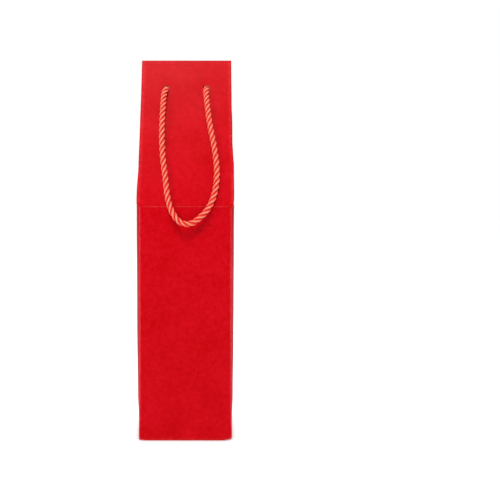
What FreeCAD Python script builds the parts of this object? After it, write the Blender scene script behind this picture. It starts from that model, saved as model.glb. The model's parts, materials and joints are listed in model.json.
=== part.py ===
import FreeCAD, Part
import math
import os
import re

import Sketcher
from FreeCAD import Placement, Rotation, Vector

# A paper carrier bag for one wine bottle, standing closed: a square tube of heavy paper
# whose top third folds along a crease, the front and back leaning together over two side
# gussets. Each folding sheet is its own piece, hinged at the creases to its neighbours.
# Frame: millimetres, origin at the centre of the base, +Z up, the front faces -Y.

SIZES = {
    "bag_width": 90,  # left to right, outside
    "bag_depth": 88,  # front to back, outside
    "crease_height": 231,  # floor to the crease where the top starts to lean in
    "top_length": 152.5,  # crease to top edge, along the sheet
    "paper": 0.5,
    "top_card": 0.7,  # reinforcing card glued under the hem
    "card_height": 40,
    "hem_height": 45,  # how far the top edge is turned in
    "wing_inset": 0.8,  # wings stop this far inside the side edges
    "hem_inset": 1.2,  # hem and card stop this far inside the side edges
    "top_half_gap": 2.8,  # closed top edge to the middle plane
    "gusset_half_gap": 0.2,  # tip of a folded gusset to half of the bag's depth
    "fold_gap": 0.3,  # clearance between two pieces along a crease
    "wing_clearance": 0.3,  # folded wing to the hem
    "wing_start": 10,  # lowest point of a wing above the crease
    "wing_reach": 24,  # width of a wing at the top edge
    "gusset_trim": 2.3,  # taken off each sloping edge of a gusset
    "gusset_tip": 0.6,  # half width of a gusset's blunt tip
    "seam_width": 18,
    "seam_end_gap": 4,
    "flap_overlap": 10,  # how far the front and back bottom flaps pass the middle
    "side_flap_reach": 30,
    "side_flap_mitre": 24,
    "board": 1.5,
    "board_clearance": 0.5,
    "board_corner": 2,
    "hole_spacing": 40,
    "hole_drop": 30,  # top edge to hole centre
    "hole_radius": 3.3,
    "collar_radius": 3.0,
    "bar_length": 18,
    "bar_width": 4,
    "bar_thickness": 2.4,
    "bar_edge": 0.6,
    "cord_radius": 3,
    "cord_gap": 0.3,  # cord to the face of the sheet it hangs on
}

# The hanging cord's route on the top panel: across from the middle, up from the crease.
CORD_ROUTE = [
    (-20, 122.5), (-22.2, 110.5), (-23.6, 90.5), (-23.6, 68.5), (-22.2, 47.5), (-19.4, 28.5),
    (-18, 11.5), (-14.6, -3), (-9.4, -12.3), (-2.6, -18.7), (6.2, -19.5), (13.8, -13.3),
    (21.6, -4.5), (27.4, 7.5), (30.4, 23.5), (30.2, 41.5), (27.6, 60.5), (23.8, 80.5),
    (21.4, 100.5), (20.6, 111.5), (20, 122.5),
]

doc = FreeCAD.newDocument("wine_gift_bag")
sheet = doc.addObject("Spreadsheet::Sheet", "Sizes")
for row, (alias, value) in enumerate(SIZES.items(), start=1):
    sheet.set(f"A{row}", alias)
    sheet.set(f"B{row}", str(value))
    sheet.setAlias(f"B{row}", alias)
doc.recompute()

LAYERS = "(2 * paper + top_card)"  # panel, card and hem together
HOLE_Y = "(top_length - hole_drop)"
INNER_X = "(bag_width / 2 - paper)"
INNER_Y = "(bag_depth / 2 - paper)"


def size(expression):
    """The value of an expression in the sheet's aliases."""
    return float(sheet.evalExpression(expression))


def bound(expression):
    """The same expression as other objects of the document write it."""
    return re.sub(r"[a-z_]+", lambda word: "Sizes." + word.group(), expression)


def pin(sketch, element, point, x, y):
    """Holds a sketch point at the offsets x and y from the origin, both expressions."""
    for kind, offset, zero_axis in (("DistanceX", x, -2), ("DistanceY", y, -1)):
        value = size(offset)
        if value == 0:
            sketch.addConstraint(Sketcher.Constraint("PointOnObject", element, point, zero_axis))
            continue
        ends = (-1, 1, element, point) if value > 0 else (element, point, -1, 1)
        index = sketch.addConstraint(Sketcher.Constraint(kind, *ends, abs(value)))
        sign = "" if value > 0 else "-"
        sketch.setExpression(f"Constraints[{index}]", bound(f"{sign}({offset})"))


def new_sketch(body, name, role="XY_Plane"):
    """An empty sketch on one of the body's own origin planes."""
    sketch = body.newObject("Sketcher::SketchObject", name)
    plane = next(f for f in body.Origin.OriginFeatures if f.Role == role)
    sketch.AttachmentSupport = [(plane, "")]
    sketch.MapMode = "FlatFace"
    return sketch


def outline(body, corners, role="XY_Plane"):
    """A closed outline through corners, each a pair of expressions."""
    sketch = new_sketch(body, body.Name + "_outline", role)
    points = [Vector(size(x), size(y), 0) for x, y in corners]
    count = len(points)
    for i in range(count):
        sketch.addGeometry(Part.LineSegment(points[i], points[(i + 1) % count]))
    for i in range(count):
        sketch.addConstraint(Sketcher.Constraint("Coincident", i, 2, (i + 1) % count, 1))
    for i, (x, y) in enumerate(corners):
        pin(sketch, i, 1, x, y)
    return sketch


def circles(body, name, radius, centres):
    """Circles of one radius, centred at pairs of expressions."""
    sketch = new_sketch(body, name)
    for i, (x, y) in enumerate(centres):
        centre = Vector(size(x), size(y), 0)
        sketch.addGeometry(Part.Circle(centre, Vector(0, 0, 1), size(radius)))
        index = sketch.addConstraint(Sketcher.Constraint("Radius", i, size(radius)))
        sketch.setExpression(f"Constraints[{index}]", bound(radius))
        pin(sketch, i, 3, x, y)
    return sketch


def pad(body, sketch, length, name="pad", centred=False, back=False):
    """A pad whose length is an expression."""
    feature = body.newObject("PartDesign::Pad", f"{body.Name}_{name}")
    feature.Profile = sketch
    feature.setExpression("Length", bound(length))
    feature.Midplane = centred
    feature.Reversed = back
    return feature


def rectangle(low_x, high_x, low_y, high_y):
    return [(low_x, low_y), (high_x, low_y), (high_x, high_y), (low_x, high_y)]


def wall_frame(turn, distance, height="0", lean=0):
    """A wall's frame: X along it, Y up its face, Z outwards; turn 0 is the front."""
    about_z = Rotation(Vector(0, 0, 1), turn)
    base = about_z.multVec(Vector(0, -size(distance), size(height)))
    return Placement(base, about_z * Rotation(Vector(1, 0, 0), 90 - lean))


def place(body, frame, x="0", y="0", z="0"):
    """Puts a body at an offset in a frame."""
    offset = Placement(Vector(size(x), size(y), size(z)), Rotation())
    body.Placement = frame * offset


def flat_piece(label, frame, corners, thickness="paper", behind="0"):
    """A flat sheet; behind is how far its outer face lies inside the wall's outer face."""
    body = doc.addObject("PartDesign::Body", label)
    pad(body, outline(body, corners), thickness)
    place(body, frame, z=f"-({behind} + {thickness})")
    return body


def punch_cord_holes(body):
    """The two cord holes, through the whole sheet."""
    doc.recompute()
    solid_volume = body.Shape.Volume
    centres = [("-hole_spacing / 2", HOLE_Y), ("hole_spacing / 2", HOLE_Y)]
    pocket = body.newObject("PartDesign::Pocket", body.Name + "_holes")
    pocket.Profile = circles(body, body.Name + "_hole_sketch", "hole_radius", centres)
    pocket.Type = "ThroughAll"
    pocket.Midplane = True
    doc.recompute()
    disc = math.pi * size("hole_radius") ** 2 * size("paper")
    if body.Shape.Volume > solid_volume - 1.9 * disc:
        raise RuntimeError(f"{body.Label}: the cord holes cut nothing")


def lower_walls():
    """The four upright panels below the crease and the glued seam flap inside."""
    top = "crease_height - fold_gap"
    full_width = rectangle("-bag_width / 2", "bag_width / 2", "0", top)
    between = rectangle(f"-{INNER_Y}", INNER_Y, "0", top)
    flat_piece("front_panel", wall_frame(0, "bag_depth / 2"), full_width)
    flat_piece("back_panel", wall_frame(180, "bag_depth / 2"), full_width)
    flat_piece("right_panel", wall_frame(90, "bag_width / 2"), between)
    left = wall_frame(-90, "bag_width / 2")
    flat_piece("left_panel", left, between)
    seam = rectangle(f"-{INNER_Y}", f"seam_width - {INNER_Y}", "seam_end_gap", f"{top} - seam_end_gap")
    flat_piece("side_seam_flap", left, seam, behind="paper")


def base():
    """The folded bottom: four glued flaps with a loose board on top."""
    level = Placement()
    back_flap = doc.addObject("PartDesign::Body", "back_bottom_flap")
    pad(back_flap, outline(back_flap, rectangle(f"-{INNER_X}", INNER_X, "-flap_overlap", INNER_Y)), "paper")

    # The front flap steps up over the back one where they are glued together.
    front_flap = doc.addObject("PartDesign::Body", "front_bottom_flap")
    step = "(-flap_overlap - fold_gap)"
    profile = [
        (f"-{INNER_Y}", "0"), (step, "0"), (step, "paper"), ("flap_overlap", "paper"),
        ("flap_overlap", "2 * paper"), (f"{step} - paper", "2 * paper"),
        (f"{step} - paper", "paper"), (f"-{INNER_Y}", "paper"),
    ]
    pad(front_flap, outline(front_flap, profile, "YZ_Plane"), f"2 * {INNER_X}", centred=True)

    inner_edge = f"({INNER_X} - side_flap_reach)"
    inner_half = f"({INNER_Y} - side_flap_mitre)"
    for label, turn in (("right_bottom_flap", 0), ("left_bottom_flap", 180)):
        flap = doc.addObject("PartDesign::Body", label)
        corners = [
            (INNER_X, f"-{INNER_Y}"), (INNER_X, INNER_Y),
            (inner_edge, inner_half), (inner_edge, f"-{inner_half}"),
        ]
        pad(flap, outline(flap, corners), "paper")
        place(flap, Placement(Vector(), Rotation(Vector(0, 0, 1), turn)), z="2 * paper")

    board = doc.addObject("PartDesign::Body", "base_board")
    half_x = f"({INNER_X} - board_clearance)"
    half_y = f"({INNER_Y} - board_clearance)"
    slab = pad(board, outline(board, rectangle(f"-{half_x}", half_x, f"-{half_y}", half_y)), "board")
    doc.recompute()
    upright = [
        f"Edge{i}" for i, edge in enumerate(slab.Shape.Edges, start=1)
        if abs(edge.tangentAt(edge.FirstParameter).z) > 0.99
    ]
    rounding = board.newObject("PartDesign::Fillet", "board_corners")
    rounding.Base = (slab, upright)
    rounding.setExpression("Radius", bound("board_corner"))
    place(board, level, z="3 * paper")


def cord_end(label, frame, x):
    """A moulded bar behind the hem, with the collar that grips the cord in the hole."""
    body = doc.addObject("PartDesign::Body", label)
    half_w = "bar_width / 2"
    half_l = "bar_length / 2"
    bar = outline(body, rectangle(f"-{half_w}", half_w, f"-{half_l}", half_l))
    slab = pad(body, bar, "bar_thickness", back=True)
    doc.recompute()
    inner_edges = [
        f"Edge{i}" for i, edge in enumerate(slab.Shape.Edges, start=1)
        if edge.BoundBox.ZMax < -size("bar_thickness") / 2
    ]
    rounding = body.newObject("PartDesign::Fillet", label + "_edges")
    rounding.Base = (slab, inner_edges)
    rounding.setExpression("Radius", bound("bar_edge"))
    ring = circles(body, label + "_collar_sketch", "collar_radius", [("0", "0")])
    body.Tip = pad(body, ring, LAYERS, "collar")
    place(body, frame, x, HOLE_Y, f"-{LAYERS}")


def leaning_top(side, turn, lean, left_label, right_label):
    """One leaning panel with its card, turned-in hem and two cord ends."""
    frame = wall_frame(turn, "bag_depth / 2", "crease_height", lean)
    panel = rectangle("-bag_width / 2", "bag_width / 2", "fold_gap", "top_length")
    inset = "(bag_width / 2 - hem_inset)"
    card = rectangle(f"-{inset}", inset, "top_length - card_height", "top_length - paper")
    hem = rectangle(f"-{inset}", inset, "top_length - hem_height", "top_length")
    sheets = [
        flat_piece(f"{side}_top_panel", frame, panel),
        flat_piece(f"{side}_top_card", frame, card, "top_card", "paper"),
        flat_piece(f"{side}_top_hem", frame, hem, "paper", "paper + top_card"),
    ]
    for sheet_body in sheets:
        punch_cord_holes(sheet_body)
    cord_end(f"{side}_{left_label}_cord_end", frame, "-hole_spacing / 2")
    cord_end(f"{side}_{right_label}_cord_end", frame, "hole_spacing / 2")
    return frame


def wing(label, frame, sign):
    """The outer triangle of a gusset, folded flat behind a leaning panel."""
    edge = "(bag_width / 2 - wing_inset)"
    top = "(top_length - fold_gap)"
    corners = [
        (f"{sign} * {edge}", "wing_start"),
        (f"{sign} * {edge}", top),
        (f"{sign} * ({edge} - wing_reach * {top} / top_length)", top),
        (f"{sign} * ({edge} - wing_reach * wing_start / top_length)", "wing_start"),
    ]
    flat_piece(label, frame, corners, "paper", f"{LAYERS} + wing_clearance")


def gusset(label, turn, lean):
    """The middle triangle of a side, leaning in between the front and back."""
    frame = wall_frame(turn, "bag_width / 2", "crease_height", lean)
    foot = "(bag_depth / 2 * (1 - fold_gap / top_length) - gusset_trim)"
    tip_y = "(top_length * (1 - (gusset_trim + gusset_tip) / (bag_depth / 2)))"
    corners = [
        (f"-{foot}", "fold_gap"), (foot, "fold_gap"),
        ("gusset_tip", tip_y), ("-gusset_tip", tip_y),
    ]
    flat_piece(label, frame, corners)


def tube_path(points):
    """Straight runs joined by tangent arcs, and the radius of each arc."""
    edges, radii = [], []
    start = points[0]
    for before, corner, after in zip(points, points[1:], points[2:]):
        back, ahead = before - corner, after - corner
        reach = 0.45 * min(back.Length, ahead.Length)
        half_turn = (math.pi - back.getAngle(ahead)) / 2
        radius = reach / math.tan(half_turn)
        back.normalize()
        ahead.normalize()
        entry = corner + back * reach
        leave = corner + ahead * reach
        bisector = back + ahead
        bisector.normalize()
        middle = corner + bisector * (radius / math.cos(half_turn) - radius)
        edges.append(Part.LineSegment(start, entry).toShape())
        edges.append(Part.Arc(entry, middle, leave).toShape())
        radii.append(radius)
        start = leave
    edges.append(Part.LineSegment(start, points[-1]).toShape())
    return Part.Wire(edges), radii


def cord(label, frame):
    """A handle cord hanging in a loop from its two holes."""
    radius = size("cord_radius")
    stand = radius + size("cord_gap")
    path, radii = tube_path([Vector(x, y, stand) for x, y in CORD_ROUTE])
    start = Vector(*CORD_ROUTE[0], stand)
    heading = Vector(*CORD_ROUTE[1], stand) - start
    section = Part.Wire([Part.makeCircle(radius, start, heading)])
    feature = doc.addObject("Part::Feature", label)
    feature.Shape = path.makePipeShell([section], True, False)
    feature.Placement = frame
    expected = math.pi * radius ** 2 * path.Length
    print(f"{label}: length {path.Length:.1f}, volume over section times length "
          f"{feature.Shape.Volume / expected:.4f}, radii " + " ".join(f"{r:.0f}" for r in radii))


def check_and_export():
    """Stops on any failed object, then writes one file for each piece."""
    doc.recompute()
    for item in doc.Objects:
        if "Invalid" in item.State or "Error" in item.State:
            raise RuntimeError(f"{item.Label} failed: {item.State}")
    pieces = [o for o in doc.Objects if o.TypeId in ("PartDesign::Body", "Part::Feature")]
    for piece in pieces:
        shape = piece.Shape
        if shape.isNull() or not shape.isValid() or len(shape.Solids) != 1:
            raise RuntimeError(f"{piece.Label}: its shape isn't one valid solid")
    os.makedirs("parts", exist_ok=True)
    for piece in pieces:
        piece.Shape.exportStep(f"parts/{piece.Label}.step")
    print(f"{len(pieces)} pieces written")


half_depth = size("bag_depth / 2")
top_lean = math.degrees(math.asin((half_depth - size("top_half_gap")) / size("top_length")))
gusset_lean = math.degrees(math.asin((half_depth - size("gusset_half_gap")) / size("top_length")))

lower_walls()
base()
front = leaning_top("front", 0, top_lean, "left", "right")
back = leaning_top("back", 180, top_lean, "right", "left")
wing("front_left_wing", front, -1)
wing("front_right_wing", front, 1)
wing("back_left_wing", back, 1)
wing("back_right_wing", back, -1)
gusset("right_gusset", 90, gusset_lean)
gusset("left_gusset", -90, gusset_lean)
cord("front_cord", front)
cord("back_cord", back)
print(f"top lean {top_lean:.3f}, gusset lean {gusset_lean:.3f} degrees")
check_and_export()
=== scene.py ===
import json
import math

import bmesh
import bpy
from mathutils import Matrix, Vector, noise


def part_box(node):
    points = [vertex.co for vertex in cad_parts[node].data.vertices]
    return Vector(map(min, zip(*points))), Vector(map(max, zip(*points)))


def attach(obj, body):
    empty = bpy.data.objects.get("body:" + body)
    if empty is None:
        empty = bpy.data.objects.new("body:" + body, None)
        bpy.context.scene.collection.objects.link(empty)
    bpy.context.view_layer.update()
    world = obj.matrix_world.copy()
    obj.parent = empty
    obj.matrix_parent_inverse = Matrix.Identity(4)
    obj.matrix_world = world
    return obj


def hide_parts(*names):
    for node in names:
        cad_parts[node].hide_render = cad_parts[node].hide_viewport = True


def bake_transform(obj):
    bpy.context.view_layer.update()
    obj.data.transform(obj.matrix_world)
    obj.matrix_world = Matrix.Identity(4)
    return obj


# A paper carrier bag for one wine bottle: its paper, folds and twisted cords, built round the
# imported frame. Lengths in the script are millimetres unless a name or comment says otherwise.

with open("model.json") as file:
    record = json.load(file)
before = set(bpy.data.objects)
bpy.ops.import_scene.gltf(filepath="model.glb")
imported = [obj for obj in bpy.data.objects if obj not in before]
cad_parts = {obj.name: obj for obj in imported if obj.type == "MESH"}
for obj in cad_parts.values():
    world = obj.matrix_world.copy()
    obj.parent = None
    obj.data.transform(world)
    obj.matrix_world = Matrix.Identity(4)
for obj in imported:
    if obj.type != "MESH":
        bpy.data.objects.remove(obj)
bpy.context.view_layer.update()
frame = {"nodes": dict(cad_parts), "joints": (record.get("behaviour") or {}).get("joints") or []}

MM = 0.001  # a millimetre in metres
HAIR = 1e-6  # two places nearer than this are the same

# Sizes read from the frame.
panel_low, panel_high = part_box("front_panel")
HALF_WIDTH = panel_high.x / MM
HALF_DEPTH = -panel_low.y / MM
joints = {joint["name"]: joint for joint in frame["joints"]}
CREASE = joints["front_top_fold"]["pos_m"][2] / MM
TOP_LEAN = math.radians(joints["front_top_fold"]["range_deg"][1])
GUSSET_LEAN = math.radians(joints["left_gusset_fold"]["range_deg"][1])
SLOPE = (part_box("front_top_panel")[1].z / MM - CREASE) / math.cos(TOP_LEAN)

# Sizes of the paper's own details.
PAPER = 0.35  # thickness of the sheet
EDGE_RADIUS = 1.25  # outside radius of a fold along a corner
FLAT_X = HALF_WIDTH - EDGE_RADIUS  # half width of a front or back panel between its folds
FLAT_Y = HALF_DEPTH - EDGE_RADIUS
STRIP = 3.0  # a crease strip reaches this far below and above the crease
BEND = 1.0  # half length of the soft bend at a crease
HEM = 45.0  # how far the top edge is turned in
TOP_FOLD = 0.8  # outside radius of the fold over the card at the top edge
THIN_FOLD = 0.4  # the same where there is no card
WING_DEPTH = 2 * EDGE_RADIUS  # a folded wing's outer face lies this far behind the panel's
OVERLAP = 0.6  # how far a wing passes under its gusset
HOLE_X = 20.0  # a hole's distance from the panel's middle line
HOLE_DROP = 30.0  # a hole's distance below the top edge
HOLE_RADIUS = 3.0
HOLE_SHIFT = 0.5  # the cords hold the sheet this far back from its skew, round the holes
PATCH = 5.0  # half side of the square of mesh that a hole is cut from
PATCH_STEP = 1.25  # size of the mesh in that square
HOLE_RINGS = (0.45, 0.8, 1.0)  # the mesh's rings, from the square's edge to the hole's
SEAM_WIDTH = 18.0  # width of the glued seam flap
SEAM_STEP = 0.42  # that flap lies this far inside the left wall
FOOT_RADIUS = 1.0  # fold between the walls and the bottom
FINE_STEP = 3.0  # size of the mesh across a wall
TOP_STEP = 4.0  # size of the mesh up the top's sheets
BODY_STEP = 5.0  # size of the mesh up the body
HALFWAY = 60.0  # a height on the slope that is clear of its crease and its hem
HEM_LINE = CREASE + (SLOPE - HEM + 3) * math.cos(TOP_LEAN)  # just above the hem's lower edge

# Each wall's turn about the bag's middle line, in degrees.
WALLS = {"left": -90, "front": 0, "right": 90, "back": 180}


def smooth(value, low, high):
    """0 at low and 1 at high, with level ends."""
    share = min(1.0, max(0.0, (value - low) / (high - low)))
    return share * share * (3 - 2 * share)


def between(value, table):
    """The value of a table of (place, value) pairs, eased between its rows."""
    if value <= table[0][0]:
        return table[0][1]
    for (low, a), (high, b) in zip(table, table[1:]):
        if value <= high:
            return a + (b - a) * smooth(value, low, high)
    return table[-1][1]


def wall(turn, distance, height=0.0, lean=0.0):
    """A wall's frame: x along it, y up it, z out of it, turned about the bag's middle line."""
    s, c = math.sin(lean), math.cos(lean)
    upright = Matrix(((1, 0, 0, 0), (0, s, -c, -distance), (0, c, s, height), (0, 0, 0, 1)))
    return Matrix.Rotation(math.radians(turn), 4, "Z") @ upright


# ---------------------------------------------------------------- the shape of the filled bag

# How far the side walls bow out at their middle, by height.
BELLY = [(0, 1.2), (38, 4.4), (110, 5.4), (205, 5.4), (CREASE, 5.3)]
GUSSET_BELLY_FADE = 30.0  # a gusset's bow fades out over about this height above the crease
# Half width of the front and back between their corners, by height, and by height up the slope.
SPREAD = [(0, 46.2), (30, 45.1), (110, 44.5), (CREASE, 44.3)]
TOP_SPREAD = [(0, 44.3), (12, 45.0), (SLOPE, 45.1)]
# How far the top's left and right edges are pushed out by the folds behind them, by height
# up the slope, and how far the top edge leans to the right.
PUFF_LEFT = [(0, 2.8), (15, 2.2), (41, 1.15), (85, 0.6), (120, 0.2), (SLOPE, -0.1)]
PUFF_RIGHT = [
    (0, 2.2), (20, 2.05), (42, 2.0), (52, 1.35), (65, 0.7), (85, 0.7), (105, 0.15), (SLOPE, 0),
]
PUFF_START = 18.0  # the push begins this far from the panel's middle line
SKEW = 1.3


def ripple(x, y, seed, size=38.0, amount=0.28):
    """A gentle unevenness of the sheet, the same at every run."""
    return amount * noise.noise(Vector((x / size, y / size, seed)))


def edge_fade(share):
    """1 over most of a panel and 0 at its edges, where share is -1 or 1."""
    return max(0.0, 1.0 - share ** 6)


def body_ripple(name, a, z):
    """Unevenness of an upright wall."""
    half = FLAT_Y if name in ("left", "right") else FLAT_X
    foot = smooth(z, 0, 14)
    return ripple(a, z, WALLS[name] / 7.0) * edge_fade(a / half) * foot


def top_ripple(turn, x, y):
    """Unevenness of a leaning panel and of the layers behind it."""
    return ripple(x, y, 50 + turn / 7.0) * edge_fade(x / FLAT_X) * (1 - smooth(y, 120, SLOPE))


def belly(share, z):
    """How far a side wall bows out, share -1 to 1 across it."""
    return between(z, BELLY) * max(0.0, 1 - share * share)


def gusset_half(y):
    """Half width of a gusset, cut back low down where it meets the folded wings."""
    true_edge = HALF_DEPTH * (1 - y / SLOPE) + OVERLAP
    behind = HALF_DEPTH - WING_DEPTH * math.cos(TOP_LEAN) + 0.25 - math.sin(TOP_LEAN) * y
    return min(true_edge, behind)


def top_x(turn, x, y):
    """Where a point of the top lands along its wall, with its spread, puffed edges and skew."""
    facing = 1 if turn == 0 else -1
    side = -1 if x < 0 else 1
    puff = between(y, PUFF_LEFT if side * facing < 0 else PUFF_RIGHT)
    spread = x * between(y, TOP_SPREAD) / HALF_WIDTH
    return spread + side * puff * smooth(abs(x), PUFF_START, FLAT_X) + facing * SKEW * y / SLOPE


def crease_x(turn, x, b):
    """Where a point near the crease lands along its wall, easing from the body to the top."""
    body = x * between(CREASE + b, SPREAD) / HALF_WIDTH
    return body + (top_x(turn, x, max(b, 0)) - body) * smooth(b, -STRIP, STRIP)


def flare(x, b):
    """How far a corner of the body is pushed out, just under the crease, by the fold above."""
    puff = PUFF_LEFT if x < 0 else PUFF_RIGHT
    return puff[0][1] * smooth(b, -STRIP, STRIP)


def tilted(proud, lean, b):
    """Outward and upward parts of a bump that stands square to a sheet bending at the crease."""
    tilt = lean * smooth(b, -STRIP, STRIP)
    return proud * math.cos(tilt), proud * math.sin(tilt)


# ---------------------------------------------------------------- building sheets of paper


def ticks(low, high, step, centres=()):
    """Evenly spaced values, closer together where a hole's patch needs them."""
    marks = sorted([low, high] + [c + o for c in centres for o in (-PATCH, PATCH)])
    values = []
    for a, b in zip(marks, marks[1:]):
        in_patch = any(abs((a + b) / 2 - c) < PATCH for c in centres)
        count = max(1, round((b - a) / (PATCH_STEP if in_patch else step)))
        values += [a + (b - a) * k / count for k in range(count)]
    return values + [high]


def grid(columns, rows, place, keep=None):
    """Points and faces of a sheet over columns and rows, wherever place puts them."""
    points = [place(u, v) for v in rows for u in columns]
    wide = len(columns)
    faces = {}
    for r in range(len(rows) - 1):
        for c in range(wide - 1):
            if keep is None or keep(c, r):
                corner = r * wide + c
                faces[(c, r)] = (corner, corner + 1, corner + wide + 1, corner + wide)
    return points, faces


def cut_hole(points, faces, columns, rows, place, centre):
    """Takes the square patch round centre out of a grid and fits rings down to the hole."""
    across = [i for i, u in enumerate(columns) if abs(u - centre[0]) <= PATCH + HAIR]
    upward = [j for j, v in enumerate(rows) if abs(v - centre[1]) <= PATCH + HAIR]
    c0, c1, r0, r1 = min(across), max(across), min(upward), max(upward)
    for c in range(c0, c1):
        for r in range(r0, r1):
            faces.pop((c, r))
    loop = [(c, r0) for c in range(c0, c1)] + [(c1, r) for r in range(r0, r1)]
    loop += [(c, r1) for c in range(c1, c0, -1)] + [(c0, r) for r in range(r1, r0, -1)]
    previous = [r * len(columns) + c for c, r in loop]
    for share in HOLE_RINGS:
        ring = []
        for c, r in loop:
            offset = Vector((columns[c] - centre[0], rows[r] - centre[1]))
            target = offset * (1 - share) + offset.normalized() * HOLE_RADIUS * share
            ring.append(len(points))
            points.append(place(centre[0] + target.x, centre[1] + target.y))
        for k in range(len(loop)):
            n = (k + 1) % len(loop)
            faces[(centre, share, k)] = (previous[k], previous[n], ring[n], ring[k])
        previous = ring


def apply_modifiers(obj):
    """Replaces an object's mesh by what its modifiers make of it."""
    graph = bpy.context.evaluated_depsgraph_get()
    made = bpy.data.meshes.new_from_object(obj.evaluated_get(graph))
    obj.modifiers.clear()
    obj.data = made


def new_object(name, points, faces, wear_and_highlight=None):
    """A mesh object from points in millimetres, with how worn each point is and how much painted
    highlight it carries.
    """
    mesh = bpy.data.meshes.new(name)
    mesh.from_pydata([Vector(p) * MM for p in points], [], faces)
    attribute = mesh.attributes.new("wear_and_highlight", "FLOAT", "POINT")
    attribute.data.foreach_set("value", wear_and_highlight or [0.0] * len(points))
    tidy = bmesh.new()
    tidy.from_mesh(mesh)
    loose = [v for v in tidy.verts if not v.link_faces]
    bmesh.ops.delete(tidy, geom=loose, context="VERTS")
    tidy.to_mesh(mesh)
    tidy.free()
    mesh.polygons.foreach_set("use_smooth", [True] * len(mesh.polygons))
    obj = bpy.data.objects.new(name, mesh)
    bpy.context.scene.collection.objects.link(obj)
    return obj


def hem_edge(centre):
    """True for an edge face on the hem's lower edge."""
    return CREASE + HALFWAY < centre.z < HEM_LINE


OUTER, INNER, RIM = range(3)  # the order of a sheet's materials


def paper_sheet(name, points, faces, is_cut=None):
    """A grid made into paper: red outside, pale inside, and pale edges where is_cut says so.

    What lies between the top's sheets and their hems is red, so it never shows pale through a fold.
    """
    places, wear_and_highlight = zip(*points)
    obj = new_object(name, places, list(faces.values()), wear_and_highlight)
    for skin in (RED, INSIDE, CUT):
        obj.data.materials.append(skin)
    solid = obj.modifiers.new("thickness", "SOLIDIFY")
    solid.thickness = PAPER * MM
    solid.offset = -1
    solid.use_quality_normals = True
    solid.material_offset = INNER
    solid.material_offset_rim = RIM
    apply_modifiers(obj)
    for polygon in obj.data.polygons:
        centre = polygon.center / MM
        folded_in = polygon.material_index == INNER and centre.z > HEM_LINE
        plain_rim = polygon.material_index == RIM and not (is_cut and is_cut(centre))
        if folded_in or plain_rim:
            polygon.material_index = OUTER
    obj.data.set_sharp_from_angle(angle=math.radians(40))
    return obj


# ---------------------------------------------------------------- materials


def new_material(name):
    """A material with its node tree and its Principled shader."""
    material = bpy.data.materials.new(name)
    material.use_nodes = True
    tree = material.node_tree
    return material, tree, tree.nodes["Principled BSDF"]


def add(tree, kind, inputs=None, **settings):
    """A node with its settings and with its inputs set or linked."""
    node = tree.nodes.new(kind)
    for key, value in settings.items():
        setattr(node, key, value)
    for key, value in (inputs or {}).items():
        if isinstance(value, bpy.types.NodeSocket):
            tree.links.new(value, node.inputs[key])
        else:
            node.inputs[key].default_value = value
    return node


def speckle(tree, place, scale, detail, rough=0.5):
    """Noise of one size at a place, its factor near 0.5."""
    inputs = {"Vector": place, "Scale": scale, "Detail": detail, "Roughness": rough}
    return add(tree, "ShaderNodeTexNoise", inputs).outputs["Fac"]


def remap(tree, value, low, high, to_low=0.0, to_high=1.0):
    """A value moved from one range to another."""
    ranges = {"From Min": low, "From Max": high, "To Min": to_low, "To Max": to_high}
    return add(tree, "ShaderNodeMapRange", {"Value": value, **ranges}).outputs["Result"]


def mix(tree, share, a, b):
    """A colour between a and b, each a colour or a socket."""
    return add(tree, "ShaderNodeMix", {0: share, 6: a, 7: b}, data_type="RGBA").outputs[2]


def combine(tree, operation, a, b):
    """Two values put through one sum, such as ADD."""
    return add(tree, "ShaderNodeMath", {0: a, 1: b}, operation=operation).outputs["Value"]


PAPER_ROUGHNESS = 0.31
PAPER_INDEX = 1.11
MID_TONE = 0.42  # the tone of even paper, from 0 for dark to 1 for light
CLOUDING = 0.14  # how far the tone strays in clouds, in mottling and in fibres
MOTTLING = 0.27
FLECKING = 0.38


def uncoated_paper(name, dark, light, wear_and_highlight_colour, bump=0.16, mottle=1.0):
    """Heavy uncoated paper: clouded and mottled colour, fine fibres, and lighter folds that are
    partly wear and partly a painted highlight.
    """
    material, tree, shader = new_material(name)
    place = add(tree, "ShaderNodeTexCoord").outputs["Object"]
    clouds = speckle(tree, place, 38.0, 2.0)
    mottling = speckle(tree, place, 210.0, 3.0, 0.62)
    fibre = speckle(tree, place, 900.0, 3.0, 0.75)
    clouding = CLOUDING * mottle
    clouded = remap(tree, clouds, 0.32, 0.68, MID_TONE - clouding, MID_TONE + clouding)
    mottled = remap(tree, mottling, 0.3, 0.7, -MOTTLING * mottle, MOTTLING * mottle)
    flecked = remap(tree, fibre, 0.3, 0.7, -FLECKING * mottle, FLECKING * mottle)
    tone = combine(tree, "ADD", combine(tree, "ADD", clouded, mottled), flecked)
    colour = mix(tree, tone, dark, light)
    # Lighter paper from the point attribute: wear at edges, holes and the foot, and a painted
    # highlight along the creases and corner folds.
    wear_and_highlight_share = add(tree, "ShaderNodeAttribute", attribute_name="wear_and_highlight").outputs["Fac"]
    broken = combine(tree, "MULTIPLY", wear_and_highlight_share, remap(tree, mottling, 0.3, 0.62, 0.35, 1.0))
    colour = mix(tree, broken, colour, wear_and_highlight_colour)
    tree.links.new(colour, shader.inputs["Base Color"])
    grain = combine(tree, "ADD", combine(tree, "MULTIPLY", mottling, 0.5), fibre)
    relief = add(tree, "ShaderNodeBump", {"Height": grain, "Strength": bump, "Distance": 0.0004})
    tree.links.new(relief.outputs["Normal"], shader.inputs["Normal"])
    shader.inputs["Roughness"].default_value = PAPER_ROUGHNESS
    shader.inputs["IOR"].default_value = PAPER_INDEX
    facing = add(tree, "ShaderNodeLayerWeight", {"Blend": 0.5}).outputs["Facing"]
    tree.links.new(remap(tree, facing, 0.5, 0.84, 0.5, 0.04), shader.inputs["Specular IOR Level"])
    return material


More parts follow.
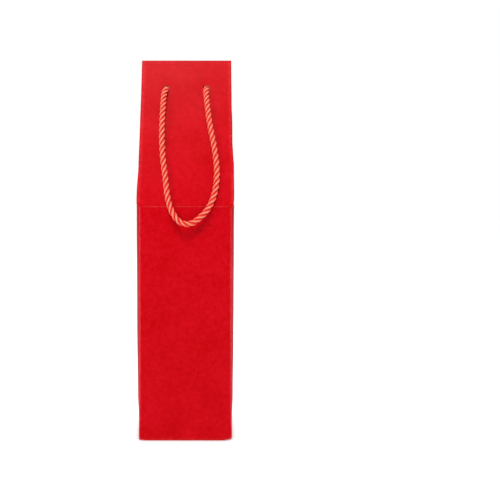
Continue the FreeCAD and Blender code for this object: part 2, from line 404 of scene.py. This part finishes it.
RED = uncoated_paper(
    "red_paper", dark=(0.53, 0.0, 0.0015, 1), light=(0.68, 0.0040, 0.0145, 1),
    wear_and_highlight_colour=(0.78, 0.045, 0.055, 1),
)
INSIDE = uncoated_paper(
    "paper_inside", dark=(0.70, 0.65, 0.58, 1), light=(0.80, 0.76, 0.69, 1),
    wear_and_highlight_colour=(0.8, 0.75, 0.7, 1), bump=0.2,
)
CUT = uncoated_paper(
    "paper_cut_edge", dark=(0.68, 0.30, 0.27, 1), light=(0.80, 0.50, 0.46, 1),
    wear_and_highlight_colour=(0.8, 0.5, 0.46, 1), bump=0.3,
)
CARD = uncoated_paper(
    "grey_card", dark=(0.27, 0.245, 0.21, 1), light=(0.45, 0.41, 0.36, 1),
    wear_and_highlight_colour=(0.5, 0.45, 0.4, 1), bump=0.3, mottle=1.6,
)


def silky_cord():
    """Three-strand viscose cord: fine filaments, a soft gloss and deep red strands, lighter coral
    along each strand's crown as a painted highlight.
    """
    material, tree, shader = new_material("twisted_cord")
    place = add(tree, "ShaderNodeUVMap", uv_map="strand").outputs["UV"]
    drawn_out = {"Vector": place, "Scale": (26.0, 0.09, 1.0)}
    stretched = add(tree, "ShaderNodeMapping", drawn_out).outputs["Vector"]
    filaments = speckle(tree, stretched, 1.0, 3.0, 0.65)
    crown = add(tree, "ShaderNodeAttribute", attribute_name="crown").outputs["Fac"]
    tone = remap(tree, filaments, 0.3, 0.7, 0.0, 1.0)
    crown_highlight = mix(tree, tone, (0.95, 0.21, 0.115, 1), (1.0, 0.40, 0.25, 1))
    # Painted highlight: each strand is lighter coral only near its crown, where its gloss would
    # catch the light, and deep red elsewhere.
    groove = remap(tree, crown, 0.70, 0.985)
    colour = mix(tree, groove, (0.84, 0.026, 0.012, 1), crown_highlight)
    tree.links.new(colour, shader.inputs["Base Color"])
    relief = add(tree, "ShaderNodeBump", {"Height": filaments, "Strength": 0.5, "Distance": 0.00025})
    tree.links.new(relief.outputs["Normal"], shader.inputs["Normal"])
    shader.inputs["Roughness"].default_value = 0.42
    shader.inputs["Specular IOR Level"].default_value = 0.45
    shader.inputs["Subsurface Weight"].default_value = 0.3
    shader.inputs["Subsurface Radius"].default_value = (1.0, 0.2, 0.1)
    shader.inputs["Subsurface Scale"].default_value = 0.0012
    shader.inputs["Sheen Weight"].default_value = 0.35
    shader.inputs["Sheen Roughness"].default_value = 0.4
    shader.inputs["Sheen Tint"].default_value = (1.0, 0.62, 0.5, 1.0)
    return material


def moulded_plastic():
    """Satin red plastic of the bars that hold the cords."""
    material, tree, shader = new_material("cord_end_plastic")
    place = add(tree, "ShaderNodeTexCoord").outputs["Object"]
    tone = speckle(tree, place, 300.0, 2.0)
    colour = mix(tree, tone, (0.50, 0.012, 0.012, 1), (0.62, 0.022, 0.02, 1))
    tree.links.new(colour, shader.inputs["Base Color"])
    grain = speckle(tree, place, 2500.0, 1.0)
    relief = add(tree, "ShaderNodeBump", {"Height": grain, "Strength": 0.1, "Distance": 0.0002})
    tree.links.new(relief.outputs["Normal"], shader.inputs["Normal"])
    shader.inputs["Roughness"].default_value = 0.4
    return material


CORD = silky_cord()
PLASTIC = moulded_plastic()

# ---------------------------------------------------------------- the upright body

front_columns = ticks(-FLAT_X, FLAT_X, FINE_STEP, (-HOLE_X, HOLE_X))
side_columns = ticks(-FLAT_Y, FLAT_Y, FINE_STEP)
side_shares = [a / FLAT_Y for a in side_columns]  # the same as shares of the half width
CORNER_STEPS = 6
FOOT_STEPS = 5
TUCK = 0.7  # how far the walls' sheet goes on under the bag after the fold at its foot
BODY_START = 4.0  # the even rows of the body begin at this height
BODY_END = CREASE - STRIP - 1.0  # and end at this one
# How far each bottom corner is crushed, by the signs of its x and y.
CRUSH = {(-1, -1): 0.5, (1, -1): 1.05, (-1, 1): 0.8, (1, 1): 0.6}


def perimeter():
    """Stations round the body: nominal place, outward direction, wall and place along it."""
    stations = []
    for name, turn in WALLS.items():
        angle = math.radians(turn)
        out = Vector((math.sin(angle), -math.cos(angle)))
        along = Vector((math.cos(angle), math.sin(angle)))
        side = name in ("left", "right")
        distance = HALF_WIDTH if side else HALF_DEPTH
        columns = side_columns if side else front_columns
        stations += [(along * a + out * distance, out, name, a) for a in columns]
        centre = along * columns[-1] + out * (distance - EDGE_RADIUS)
        for k in range(1, CORNER_STEPS):
            turned = math.pi / 2 * k / CORNER_STEPS
            radius = EDGE_RADIUS - (SEAM_STEP * k / CORNER_STEPS if name == "back" else 0)
            facing = out * math.cos(turned) + along * math.sin(turned)
            stations.append((centre + facing * radius, facing, "corner", k / CORNER_STEPS))
    out = Vector((-1, 0))
    for a in ticks(-FLAT_Y, -FLAT_Y + SEAM_WIDTH, FINE_STEP):
        stations.append((Vector((-HALF_WIDTH + SEAM_STEP, -a)), out, "flap", a))
    return stations


def body_out(name, a, z):
    """How far a station stands out of its nominal place."""
    if name == "corner":
        return 0.0
    if name in ("front", "back"):
        return body_ripple(name, a, z)
    return belly(a / FLAT_Y, z) + body_ripple("right" if name == "right" else "left", a, z)


def crushed(point):
    """Pulls a point near a bottom corner up and in, as the worn corners are."""
    key = (-1 if point.x < 0 else 1, -1 if point.y < 0 else 1)
    corner = Vector((key[0] * HALF_WIDTH, key[1] * HALF_DEPTH, 0))
    amount = CRUSH[key] * math.exp(-((point - corner).length / 4.5) ** 2)
    return point + Vector((-key[0] * amount, -key[1] * amount, 0.8 * amount))


def body_point(station, row):
    """A point of the body's sheet and its wear and painted highlight; row is its height and how far
    it is tucked under.
    """
    place, out, name, a = station
    z, under = row
    spread = between(z, SPREAD) / HALF_WIDTH
    flat = Vector((place.x * spread, place.y)) + out * (body_out(name, a, z) - under)
    wear_and_highlight = 0.0
    # The fold round each corner is painted lighter: partly worn fibres and partly a painted
    # highlight where the fold catches the light.
    if name == "corner":
        wear_and_highlight = 0.85 * math.sin(math.pi * a)
    wear_and_highlight = max(wear_and_highlight, 0.6 * (1 - smooth(z, 0.2, 1.6)))
    point = Vector((flat.x, flat.y, z))
    if name == "corner" and z > CREASE - STRIP:
        point.x += math.copysign(flare(place.x, z - CREASE), place.x)
    return crushed(point), wear_and_highlight


def build_body():
    """The sheet of the four walls, with its glued seam flap inside the left wall."""
    stations = perimeter()
    arc = [math.pi / 2 * k / FOOT_STEPS for k in range(FOOT_STEPS, -1, -1)]
    rows = [(0.0, FOOT_RADIUS + TUCK)]
    rows += [(FOOT_RADIUS * (1 - math.sin(g)), FOOT_RADIUS * (1 - math.cos(g))) for g in arc]
    rows += [(z, 0.0) for z in ticks(BODY_START, BODY_END, BODY_STEP)]
    rows += [(CREASE - k, 0.0) for k in (STRIP, 2, 1, 0)]
    rows = sorted(set(rows), key=lambda row: (row[0], -row[1]))

    def keep(c, r):
        names = stations[c][2], stations[c + 1][2]
        z_low, z_high = rows[r][0], rows[r + 1][0]
        if "flap" in names:
            return z_low >= BODY_START - HAIR and z_high <= BODY_END + HAIR
        return z_high <= CREASE - STRIP + HAIR or "corner" in names

    points, faces = grid(stations, rows, body_point, keep)
    body = paper_sheet("body_sheet", points, faces, lambda p: p.z < CREASE - STRIP - 0.5)
    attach(body, "bag_body")
    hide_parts("front_panel", "back_panel", "left_panel", "right_panel", "side_seam_flap")


# ---------------------------------------------------------------- the creases

GROOVE = 0.34  # depth of the pressed crease line
GROOVE_HALF = 0.55  # half its width
GROOVE_RISE = 0.15  # its middle lies this far above the crease


def groove(x, b, reach):
    """Depth of the pressed line at b above the crease, faint and broken near its ends."""
    share = max(0.0, 1 - abs(b - GROOVE_RISE) / GROOVE_HALF)
    ends = 1 - smooth(abs(x), reach - 5, reach)
    uneven = 0.8 + 0.4 * noise.noise(Vector((x / 9.0, 3.0, 0.0)))
    return GROOVE * share * share * (3 - 2 * share) * ends * uneven


def bent(b, lean):
    """Inward and upward travel along a sheet that bends softly at the crease."""
    if b <= -BEND:
        return 0.0, b
    inward = math.sin(lean) * (b if b >= BEND else (b + BEND) ** 2 / (4 * BEND))
    return inward, b * (math.cos(lean) if b > 0 else 1.0)


# Rows of a crease strip, by their height above the crease: closest round the pressed line.
pressed_rows = {round(k * 0.15 - 0.9, 3) for k in range(14)}
crease_rows = sorted(pressed_rows | {-STRIP, -2.2, -1.6, -1.2, 1.3, 1.8, 2.4, STRIP})


def build_front_crease(side, turn):
    """The strip of paper where a front or back panel bends towards the top."""
    upright = wall(turn, HALF_DEPTH)
    low, high = CREASE - STRIP, STRIP

    def place(x, b):
        share = smooth(b, -STRIP, STRIP)
        inward, rise = bent(b, TOP_LEAN)
        waves = (1 - share) * body_ripple(side, x, low) + share * top_ripple(turn, x, high)
        out, up = tilted(waves - groove(x, b, 42.5), TOP_LEAN, b)
        # A lighter line just under the pressed line: partly worn fibres and partly a painted
        # highlight where the groove's lower wall faces the light.
        wear_and_highlight = 0.5 * math.exp(-((b + 0.75) / 0.4) ** 2) * (1 - smooth(abs(x), 38, 43))
        across = crease_x(turn, x, b)
        return upright @ Vector((across, CREASE + rise + up, out - inward)), wear_and_highlight

    strip = paper_sheet(f"{side}_crease", *grid(front_columns, crease_rows, place))
    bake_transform(strip)


def gusset_out(share, y):
    """How far a gusset bows out above the crease."""
    return between(CREASE, BELLY) * max(0.0, 1 - share * share) * math.exp(-y / GUSSET_BELLY_FADE)


def build_side_crease(side, turn):
    """The strip of paper where a side wall bends into its gusset."""
    upright = wall(turn, HALF_WIDTH)

    def place(share, b):
        inward, rise = bent(b, GUSSET_LEAN)
        a = share * FLAT_Y
        blend = smooth(b, -STRIP, STRIP)
        above = smooth(b, 0, STRIP)
        half = FLAT_Y if b <= 0 else FLAT_Y + (gusset_half(b) - FLAT_Y) * above
        spread = between(CREASE + min(b, 0), SPREAD) - HALF_WIDTH
        bow = belly(share, CREASE + b) if b <= 0 else gusset_out(share, b)
        waves = (1 - blend) * body_ripple(side, a, CREASE - STRIP)
        waves += blend * gusset_wave(turn, share, STRIP)
        corner = smooth(abs(share), 0.8, 1) * (1 - above) * flare(math.sin(math.radians(turn)), b)
        proud = spread * (1 - blend) + bow + waves + corner
        proud -= 0.6 * groove(a, b, 40) + set_back(share, b, half)
        out, up = tilted(proud, GUSSET_LEAN, b)
        # A lighter line just under the pressed line: partly worn fibres and partly a painted
        # highlight where the groove's lower wall faces the light.
        wear_and_highlight = 0.35 * math.exp(-((b + 0.5) / 0.4) ** 2)
        return upright @ Vector((share * half, CREASE + rise + up, out - inward)), wear_and_highlight

    strip = paper_sheet(f"{side}_crease", *grid(side_shares, crease_rows, place))
    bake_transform(strip)


def gusset_wave(turn, share, y):
    """Unevenness of a gusset."""
    waves = ripple(share * 40, y, 80 + turn / 7.0, 30.0, 0.3)
    return waves * edge_fade(share) * (1 - smooth(y, 110, SLOPE))


def set_back(share, y, half):
    """A gusset's edges lie a little inside its wings."""
    if y <= 0:
        return 0.0
    return 0.45 * (1 - smooth((1 - abs(share)) * half, 0, 5)) * smooth(y, 0, STRIP)


# ---------------------------------------------------------------- the leaning top

TURN_STEPS = 8  # rows round the fold at the top edge


def over_top(s, radius):
    """Height up the slope and drop behind the outer face of a sheet folded over at the top."""
    turn = SLOPE - radius
    if s <= turn:
        return s, 0.0
    angle = (s - turn) / radius
    if angle < math.pi:
        return turn + radius * math.sin(angle), radius * (1 - math.cos(angle))
    return turn - (s - turn - math.pi * radius), 2 * radius


def sheet_rows(start, radius, hole=False):
    """Rows of a sheet that runs up the slope, over the top edge and down as the hem.

    Returns them with those of the holes in the panel and in its hem.
    """
    turn = SLOPE - radius
    down = turn + math.pi * radius
    end = down + HEM - radius
    up_holes = (SLOPE - HOLE_DROP,) if hole else ()
    down_holes = (down + HOLE_DROP - radius,) if hole else ()
    rows = ticks(start, turn, TOP_STEP, up_holes)
    rows += [turn + math.pi * radius * k / TURN_STEPS for k in range(1, TURN_STEPS)]
    rows += ticks(down, end, TOP_STEP, down_holes)
    return rows, up_holes + down_holes


def build_top_sheet(side, turn):
    """A leaning panel with its turned-in hem, pierced twice for the cord."""
    placed = wall(turn, HALF_DEPTH, CREASE, TOP_LEAN)
    rows, holes = sheet_rows(STRIP, TOP_FOLD, hole=True)

    def place(x, s):
        y, drop = over_top(s, TOP_FOLD)
        nearest = math.hypot(abs(x) - HOLE_X, y - SLOPE + HOLE_DROP)
        dent = 0.22 * math.exp(-((nearest / 5.5) ** 2))
        top_wear = 0.55 * (1 - smooth(SLOPE - y, 0, 0.7))
        hole_wear = 0.25 * math.exp(-((nearest - 3.4) / 0.5) ** 2)
        edge_wear = 0.5 * (1 - smooth(FLAT_X - abs(x), 0, 1.5)) * (1 - smooth(drop, 0, 0.2))
        wear_and_highlight = min(1, top_wear + hole_wear + edge_wear)
        held = HOLE_SHIFT * (1 - smooth(nearest, 4, 11))
        across = top_x(turn, x, y) - (held if turn == 0 else -held)
        return placed @ Vector((across, y, top_ripple(turn, x, y) - drop - dent)), wear_and_highlight

    points, faces = grid(front_columns, rows, place)
    for x in (-HOLE_X, HOLE_X):
        for s in holes:
            cut_hole(points, faces, front_columns, rows, place, (x, s))
    sheet = paper_sheet(f"{side}_top_sheet", points, faces, hem_edge)
    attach(sheet, f"{side}_top")
    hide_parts(f"{side}_top_panel", f"{side}_top_hem")


BAR_LIFT = 2.75  # how far a bar pushes the wing behind it


def bar_lift(x, y):
    """How far a folded wing is pushed off by the cord's bar under it."""
    across = 1 - smooth(abs(abs(x) - HOLE_X), 2.4, 7.5)
    upward = 1 - smooth(abs(y - SLOPE + HOLE_DROP), 9.6, 17)
    return BAR_LIFT * across * upward


def wing_rows():
    """Rows of a wing and of the fold beside it, closest near the crease."""
    rows, _ = sheet_rows(0.0, THIN_FOLD)
    return rows[:1] + [1.0, 2.0, 3.0] + rows[1:]


FOLD_STEPS = 10
PUSHED_TO = math.pi / 2  # a fold is pushed out as far round as this, and eases from there


def build_edge_fold(side, label, turn, sign):
    """The fold along a panel's edge, round to the wing behind it."""
    placed = wall(turn, HALF_DEPTH, CREASE, TOP_LEAN)

    def place(angle, s):
        y, drop = over_top(s, THIN_FOLD)
        radius = EDGE_RADIUS - drop
        x = FLAT_X + radius * math.sin(angle)
        depth = EDGE_RADIUS - radius * math.cos(angle)
        push = crease_x(turn, sign * FLAT_X, y) - sign * FLAT_X
        across = sign * x + push * (1 - smooth(angle, PUSHED_TO, math.pi))
        # The fold round a panel's edge is painted lighter: partly worn fibres and partly a painted
        # highlight where the fold catches the light.
        wear_and_highlight = 0.75 * math.sin(angle) ** 4 + 0.4 * (1 - smooth(angle, 0, 0.6))
        return placed @ Vector((across, y, -depth)), wear_and_highlight * (drop < 0.1)

    angles = [math.pi * k / FOLD_STEPS for k in range(FOLD_STEPS + 1)]
    if sign < 0:
        angles.reverse()
    fold = paper_sheet(f"{side}_{label}_edge_fold", *grid(angles, wing_rows(), place))
    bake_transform(fold)


WING_STEPS = 24


def build_wing(side, label, turn, sign):
    """The folded outer triangle of a side, flat but for the cord's bar under it."""
    placed = wall(turn, HALF_DEPTH, CREASE, TOP_LEAN)

    def place(share, s):
        y, drop = over_top(s, THIN_FOLD)
        reach = min(HALF_DEPTH - gusset_half(y) - EDGE_RADIUS + OVERLAP, FLAT_Y - 0.3)
        x = FLAT_X - share * reach
        depth = WING_DEPTH - drop + bar_lift(x, y) - top_ripple(turn, sign * x, y)
        fold_line = 1 - smooth(abs(reach - share * reach - 1.0), 0, 0.8)
        return placed @ Vector((sign * x, y, -depth)), 0.5 * fold_line

    shares = [k / WING_STEPS for k in range(WING_STEPS + 1)]
    if sign < 0:
        shares.reverse()
    wing = paper_sheet(f"{side}_{label}_wing_sheet", *grid(shares, wing_rows()[1:], place))
    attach(wing, f"{side}_{label}_wing")
    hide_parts(f"{side}_{label}_wing")


def build_gusset(side, turn):
    """The middle triangle of a side, leaning in between the wings."""
    placed = wall(turn, HALF_WIDTH, CREASE, GUSSET_LEAN)
    rows, _ = sheet_rows(STRIP, THIN_FOLD)

    def place(share, s):
        y, drop = over_top(s, THIN_FOLD)
        half = gusset_half(y)
        out = gusset_out(share, y) + gusset_wave(turn, share, y) - drop
        wear_and_highlight = 0.4 * (1 - smooth((1 - abs(share)) * half, 0, 0.8)) * (drop < 0.1)
        return placed @ Vector((share * half, y, out - set_back(share, y, half))), wear_and_highlight

    sheet = paper_sheet(f"{side}_gusset_sheet", *grid(side_shares, rows, place))
    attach(sheet, f"{side}_gusset")
    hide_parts(f"{side}_gusset")


# ---------------------------------------------------------------- the bottom

FLAP_END = 10.0  # a flap reaches this far past the bag's middle line
FLAP_LIFT = 0.52  # how far the front flap steps up over the back one
LIFT_START = -13.0  # the step's fine rows lie between these two places
LIFT_END = -9.2


def build_bottom_flap(side, turn):
    """The front or back bottom flap; the front one steps up over the back one."""
    frame_of_side = Matrix.Rotation(math.radians(turn), 4, "Z")
    near = -(HALF_DEPTH - FOOT_RADIUS - 0.35)
    half = HALF_WIDTH - FOOT_RADIUS - 0.2

    def place(x, y):
        lift = FLAP_LIFT * smooth(y, -12.5, -9.6) if side == "front" else 0.0
        sag = 0.06 * noise.noise(Vector((x / 14, y / 14, turn))) + 0.07
        wear_and_highlight = 0.5 * (1 - smooth(y - near, 0, 1.0))
        return crushed(frame_of_side @ Vector((x, y, 0.02 + lift + sag))), wear_and_highlight

    rows = ticks(near, LIFT_START, 4.0) + ticks(LIFT_START, LIFT_END, 0.5)
    rows = sorted(set(rows + ticks(LIFT_END, FLAP_END, 4.0)))
    columns = ticks(-half, half, 4.0)[::-1]
    points, faces = grid(columns, rows, place)
    flap = paper_sheet(f"{side}_bottom_flap_sheet", points, faces, lambda p: True)
    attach(flap, "bag_body")
    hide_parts(f"{side}_bottom_flap")


# ---------------------------------------------------------------- the cords

CORD_STEP = 0.65  # length of the mesh along a cord
STAND = 3.3  # cord's middle line off the sheet it hangs on
# Across from the middle, up the slope from the crease and out of the panel, from hole to hole.
CORD_ROUTE = [
    (-19.3, 121.3, -2.6), (-18.8, 121.5, 0.5), (-19.0, 120.3, 3.1), (-20.9, 115.0, 4.6),
    (-21.7, 106, 5.2), (-22.6, 90.5, 4.2), (-23.1, 68.5, STAND), (-22.0, 47.5, STAND),
    (-19.4, 28.5, STAND), (-18, 11.5, STAND), (-14.8, -3, STAND), (-10.0, -12.2, STAND),
    (-4.0, -18.3, STAND), (5.0, -19.1, STAND), (13.2, -13.4, STAND), (21.4, -4.7, STAND),
    (27.2, 7.5, STAND), (30.4, 23.5, STAND), (30.2, 41.5, STAND), (27.7, 60.5, STAND),
    (24.0, 80.5, 4.0), (21.9, 98, 5.0), (20.6, 111, 5.0), (20.4, 117.0, 4.3),
    (20.8, 120.3, 3.1), (20.8, 121.5, 0.5), (20.6, 121.3, -2.6),
]


def route_points(placed, name):
    """The cord's smooth line in metres, read from the route's own spline."""
    curve = bpy.data.curves.new(name, "CURVE")
    curve.dimensions = "3D"
    spline = curve.splines.new("NURBS")
    spline.points.add(len(CORD_ROUTE) - 1)
    for point, place in zip(spline.points, CORD_ROUTE):
        point.co = (*(placed @ Vector(place) * MM), 1.0)
    spline.order_u = 3
    spline.use_endpoint_u = True
    spline.resolution_u = 14
    guide = bpy.data.objects.new(name, curve)
    bpy.context.scene.collection.objects.link(guide)
    bpy.context.view_layer.update()
    line = bpy.data.meshes.new_from_object(guide)
    points = [v.co.copy() for v in line.vertices]
    bpy.data.objects.remove(guide)
    return points


def resample(points, step):
    """Points a step apart along a line."""
    result = [points[0]]
    carried = 0.0
    for a, b in zip(points, points[1:]):
        length = (b - a).length
        while carried + length >= step and length > 0:
            share = (step - carried) / length
            a = a + (b - a) * share
            result.append(a)
            length = (b - a).length
            carried = 0.0
        carried += length
    return result


def strand_frames(points):
    """Two directions across a line at each of its points, carried along it without twisting."""
    frames = []
    tangent = (points[1] - points[0]).normalized()
    across = tangent.orthogonal().normalized()
    for k in range(len(points)):
        ahead = points[min(k + 1, len(points) - 1)]
        behind = points[max(k - 1, 0)]
        new_tangent = (ahead - behind).normalized()
        across = tangent.rotation_difference(new_tangent) @ across
        across = (across - new_tangent * across.dot(new_tangent)).normalized()
        tangent = new_tangent
        frames.append((across, tangent.cross(across)))
    return frames


STRAND_RADIUS = 1.42
STRAND_OFFSET = 1.4  # a strand's middle from the cord's
STRANDS = 3
STRAND_SIDES = 14
PITCH = 19.0  # one turn of the twist, along the cord
TIGHT_PITCH = 13.0  # the same near the holes
SLIM = 0.84  # how much the cord is squeezed in its holes


def twist(line, length):
    """How far along the line each of its points is, how slim the cord is there, and its turn."""
    travelled = turned = 0.0
    result = []
    for k in range(len(line)):
        step = (line[k] - line[k - 1]).length / MM if k else 0.0
        travelled += step
        from_end = min(travelled, length - travelled)
        pitch = TIGHT_PITCH + (PITCH - TIGHT_PITCH) * smooth(from_end, 8, 60)
        turned += 2 * math.pi * step / pitch
        result.append((travelled, SLIM + (1 - SLIM) * smooth(from_end, 2.5, 8), turned))
    return result


def strand_points(line, frames, twisted, start):
    """A strand's rings of points, how near each is to the crown, and where on the strand it is."""
    points, crowns, places = [], [], []
    for point, (across, other), (travelled, slim, turned) in zip(line, frames, twisted):
        outward = across * math.cos(start + turned) + other * math.sin(start + turned)
        sideways = other * math.cos(start + turned) - across * math.sin(start + turned)
        centre = point / MM + outward * STRAND_OFFSET * slim
        for i in range(STRAND_SIDES):
            angle = 2 * math.pi * i / STRAND_SIDES
            ring = outward * math.cos(angle) + sideways * math.sin(angle)
            points.append(centre + ring * STRAND_RADIUS * slim)
            crowns.append(0.5 + 0.5 * math.cos(angle))
            places.append((i / STRAND_SIDES, travelled))
    return points, crowns, places


def tube_faces(first, rings, sides):
    """Faces round a closed tube whose rings of points start at number first."""
    faces = []
    for k in range(rings - 1):
        a = first + k * sides
        b = a + sides
        faces += [(a + i, a + (i + 1) % sides, b + (i + 1) % sides, b + i) for i in range(sides)]
    last = first + (rings - 1) * sides
    faces.append(tuple(first + i for i in range(sides))[::-1])
    faces.append(tuple(last + i for i in range(sides)))
    return faces


def map_strands(cord, places):
    """Gives a cord its map of places round and along each strand."""
    uv = cord.data.uv_layers.new(name="strand")
    for polygon in cord.data.polygons:
        corners = [places[cord.data.loops[i].vertex_index] for i in polygon.loop_indices]
        wraps = max(c[0] for c in corners) - min(c[0] for c in corners) > 0.5
        for i, (u, v) in zip(polygon.loop_indices, corners):
            uv.data[i].uv = (u + 1 if wraps and u < 0.5 else u, v)


def build_cord(side, turn):
    """A handle of three twisted strands along the route, held in its two holes."""
    placed = wall(turn, HALF_DEPTH, CREASE, TOP_LEAN)
    line = resample(route_points(placed, f"{side}_guide"), CORD_STEP * MM)
    frames = strand_frames(line)
    length = sum((b - a).length for a, b in zip(line, line[1:]))
    twisted = twist(line, length / MM)
    points, faces, crowns, places = [], [], [], []
    for k in range(STRANDS):
        faces += tube_faces(len(points), len(line), STRAND_SIDES)
        strand = strand_points(line, frames, twisted, k * 2 * math.pi / STRANDS)
        points += strand[0]
        crowns += strand[1]
        places += strand[2]
    cord = new_object(f"{side}_cord_strands", points, faces)
    attribute = cord.data.attributes.new("crown", "FLOAT", "POINT")
    attribute.data.foreach_set("value", crowns)
    map_strands(cord, places)
    cord.data.set_sharp_from_angle(angle=math.radians(60))
    cord.data.materials.append(CORD)
    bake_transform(cord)
    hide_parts(f"{side}_cord")


BAR_FACE = 1.72  # the bar's near face behind the panel's outer one
BAR_THICKNESS = 2.36
BAR_HALF_WIDTH = 1.98
BAR_HALF_LENGTH = 9.0
BAR_SIDES = 20
HALF_STOPS = [0.12, 0.25, 0.45, 0.7, 0.86, 0.94, 0.985, 1]  # rings from the bar's middle to its end


def build_cord_bar(side, label, turn, x):
    """The moulded bar behind the hem that a cord's end is fixed in."""
    placed = wall(turn, HALF_DEPTH, CREASE, TOP_LEAN)
    hole = SLOPE - HOLE_DROP
    stops = [-stop for stop in reversed(HALF_STOPS)] + [0] + HALF_STOPS
    points = []
    for stop in stops:
        swell = max(0.02, 1 - abs(stop) ** 9) ** 0.5
        waist = 0.9 + 0.1 * math.exp(-((stop / 0.2) ** 2))
        y = hole + stop * BAR_HALF_LENGTH
        for i in range(BAR_SIDES):
            angle = -2 * math.pi * i / BAR_SIDES
            c, s = math.cos(angle), math.sin(angle)
            u = math.copysign(abs(c) ** 0.6, c) * BAR_HALF_WIDTH * swell * waist
            w = math.copysign(abs(s) ** 0.6, s) * BAR_THICKNESS / 2 * swell
            points.append(placed @ Vector((x + u, y, w - BAR_FACE - BAR_THICKNESS / 2)))
    faces = tube_faces(0, len(stops), BAR_SIDES)
    bar = new_object(f"{side}_{label}_cord_bar", points, faces)
    bar.data.materials.append(PLASTIC)
    bar.data.set_sharp_from_angle(angle=math.radians(50))
    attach(bar, f"{side}_top")
    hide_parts(f"{side}_{label}_cord_end")


# ---------------------------------------------------------------- everything together

build_body()
for side, turn in (("front", 0), ("back", 180)):
    build_front_crease(side, turn)
    build_top_sheet(side, turn)
    build_bottom_flap(side, turn)
    build_cord(side, turn)
for side, turn in (("left", -90), ("right", 90)):
    build_side_crease(side, turn)
    build_gusset(side, turn)
QUARTERS = [
    ("front", "left", 0, -1), ("front", "right", 0, 1),
    ("back", "left", 180, 1), ("back", "right", 180, -1),
]
for side, label, turn, sign in QUARTERS:
    build_edge_fold(side, label, turn, sign)
    build_wing(side, label, turn, sign)
    build_cord_bar(side, label, turn, sign * HOLE_X)

# Pieces seen as they are in the frame, and what they are made of.
KEPT_NODES = {
    "front_top_card": CARD, "back_top_card": CARD, "base_board": CARD,
    "left_bottom_flap": INSIDE, "right_bottom_flap": INSIDE,
}
for node, material in KEPT_NODES.items():
    mesh = frame["nodes"][node].data
    mesh.materials.clear()
    mesh.materials.append(material)

# ---------------------------------------------------------------- studio


FLOOR_HALF = 9000.0  # half side of the floor
FLOOR_LEVEL = -0.05
FLOOR_GREY = 0.6
GLOW = 0.33  # how strongly the floor lights what stands on it
CONTACT_REACH = 0.009  # metres from the bag that its contact shadow spreads


def floor_material():
    """The studio floor: plain and pale, glowing, with a painted contact shadow where the bag stands
    on it.
    """
    material, tree, shader = new_material("floor")
    place = add(tree, "ShaderNodeTexCoord").outputs["Object"]
    tone = speckle(tree, place, 3.0, 2.0)
    dark = FLOOR_GREY * 0.985
    shade = mix(tree, tone, (FLOOR_GREY, FLOOR_GREY, FLOOR_GREY, 1), (dark, dark, dark, 1))
    tree.links.new(shade, shader.inputs["Base Color"])
    shader.inputs["Roughness"].default_value = 0.9
    shader.inputs["Specular IOR Level"].default_value = 0.1
    shader.inputs["Emission Color"].default_value = (1, 1, 1, 1)
    contact = add(tree, "ShaderNodeAmbientOcclusion", {"Distance": CONTACT_REACH}, samples=8)
    rays = add(tree, "ShaderNodeLightPath").outputs["Is Camera Ray"]
    # Painted contact shadow: the glow the camera sees is dimmed where ambient occlusion from the bag
    # reaches the floor.
    glow_with_painted_shadow = remap(tree, contact.outputs["AO"], 0.45, 0.98, 0.22, 0.87)
    glow = add(tree, "ShaderNodeMix", {0: rays, 2: GLOW, 3: glow_with_painted_shadow}, data_type="FLOAT")
    tree.links.new(glow.outputs[0], shader.inputs["Emission Strength"])
    return material


floor_corners = [
    (x * FLOOR_HALF, y * FLOOR_HALF, FLOOR_LEVEL) for x, y in ((-1, -1), (1, -1), (1, 1), (-1, 1))
]
floor = new_object("floor", floor_corners, [(0, 1, 2, 3)])
floor.data.materials.append(floor_material())


def area_light(name, place, target, size, power):
    """A square white studio light, sized and placed in metres, aimed at a target."""
    data = bpy.data.lights.new(name, "AREA")
    data.size = size
    data.energy = power
    light = bpy.data.objects.new(name, data)
    light.location = place
    light.rotation_euler = (Vector(target) - Vector(place)).to_track_quat("-Z", "Y").to_euler()
    bpy.context.scene.collection.objects.link(light)


MIDDLE = (0, 0, 0.2)  # of the bag, in metres
area_light("key", (-1.25, -1.0, 1.0), MIDDLE, 0.5, 8.5)
area_light("side_fill", (1.7, -1.2, 0.3), (0, 0, 0.1), 1.2, 8)
area_light("top_soft", (-0.12, -1.08, 1.71), MIDDLE, 0.6, 19)
area_light("back_rim", (0.6, 1.6, 1.4), MIDDLE, 1.2, 13)
area_light("left_side", (-1.9, 0.5, 0.35), MIDDLE, 1.0, 8)
area_light("right_side", (1.9, 0.5, 0.35), MIDDLE, 1.0, 8)

world = bpy.data.worlds.new("studio")
bpy.context.scene.world = world
world.use_nodes = True
tree = world.node_tree
seen = tree.nodes["Background"]
seen.inputs["Color"].default_value = (1, 1, 1, 1)
seen.inputs["Strength"].default_value = 1.0
lighting = add(tree, "ShaderNodeBackground", {"Color": (1, 1, 1, 1), "Strength": 0.25})
rays = add(tree, "ShaderNodeLightPath").outputs["Is Camera Ray"]
skies = {0: rays, 1: lighting.outputs[0], 2: seen.outputs[0]}
chosen = add(tree, "ShaderNodeMixShader", skies)
tree.links.new(chosen.outputs[0], tree.nodes["World Output"].inputs["Surface"])

scene = bpy.context.scene
scene.view_settings.view_transform = "Standard"
scene.view_settings.look = "None"

camera_data = bpy.data.cameras.new("camera")
camera_data.lens = 43.2
camera_data.sensor_width = 36.0
camera_data.shift_x = 0.1292
camera_data.clip_start = 0.01
camera_data.clip_end = 50
camera = bpy.data.objects.new("camera", camera_data)
camera.location = (0, -0.621, 0.230)
camera.rotation_euler = (math.radians(90 - 4.1), 0, 0)
scene.collection.objects.link(camera)
scene.camera = camera
